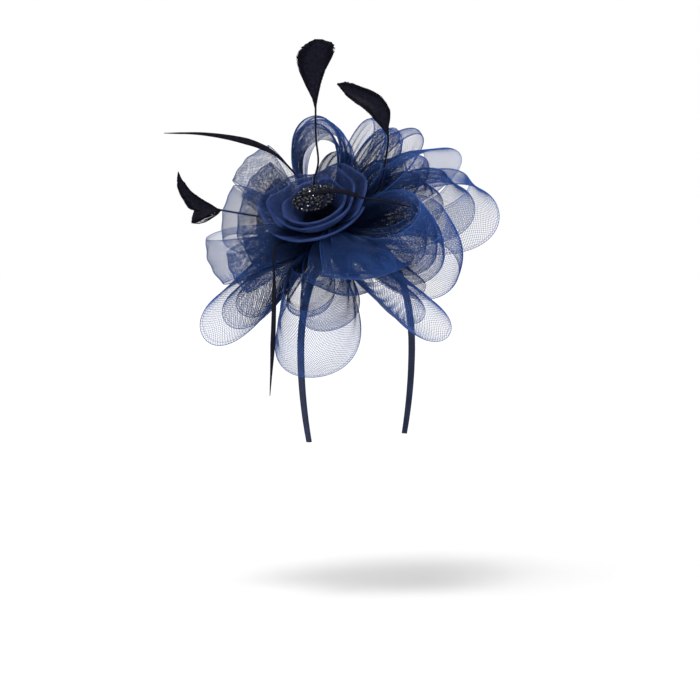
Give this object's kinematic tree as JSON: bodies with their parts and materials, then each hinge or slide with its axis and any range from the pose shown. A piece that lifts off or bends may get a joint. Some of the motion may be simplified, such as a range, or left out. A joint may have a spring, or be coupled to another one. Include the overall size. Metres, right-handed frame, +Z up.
{
  "type": "feather fascinator",
  "caption": "Headband fascinator with a large flower of sheer crin ribbon loops round a crin rose, dark beads at its heart and stripped feathers curving out.",
  "frame": {"origin": "underside of the headband at its crown, where it sits on the top of the head", "axes": "+Z up, the wearer faces -Y, and the flower leans out over the wearer's right side at -X"},
  "size_m": [0.2352, 0.23, 0.3215],
  "materials": {
    "crin": "sheer navy braid",
    "crin_rose": "sheer navy braid, doubled",
    "satin": "navy satin ribbon",
    "base_cloth": "navy covered base",
    "beads": "glossy dark beads",
    "feather": "dark trimmed feather"
  },
  "bodies": {
    "root": {"headband": "satin", "base": "base_cloth", "crin_loop_crown": "crin", "crin_loop_crown_rear": "crin", "crin_loop_left_upper": "crin", "crin_loop_left_middle": "crin", "crin_loop_left_lower": "crin", "crin_loop_low_left": "crin", "crin_loop_bottom": "crin", "crin_loop_tongue": "crin", "crin_loop_low_right": "crin", "crin_loop_right_lower": "crin", "crin_loop_right": "crin", "crin_loop_right_rear": "crin", "crin_loop_right_upper": "crin", "crin_loop_top_right": "crin", "crin_loop_top": "crin", "rose_inner": "crin_rose", "rose_middle": "crin_rose", "rose_outer": "crin_rose", "bead_cluster": "beads", "plume_tall": "feather", "plume_curved": "feather", "plume_heart": "feather", "biot_long": "feather", "biot_across": "feather", "biot_hanging": "feather"}
  },
  "joints": []
}
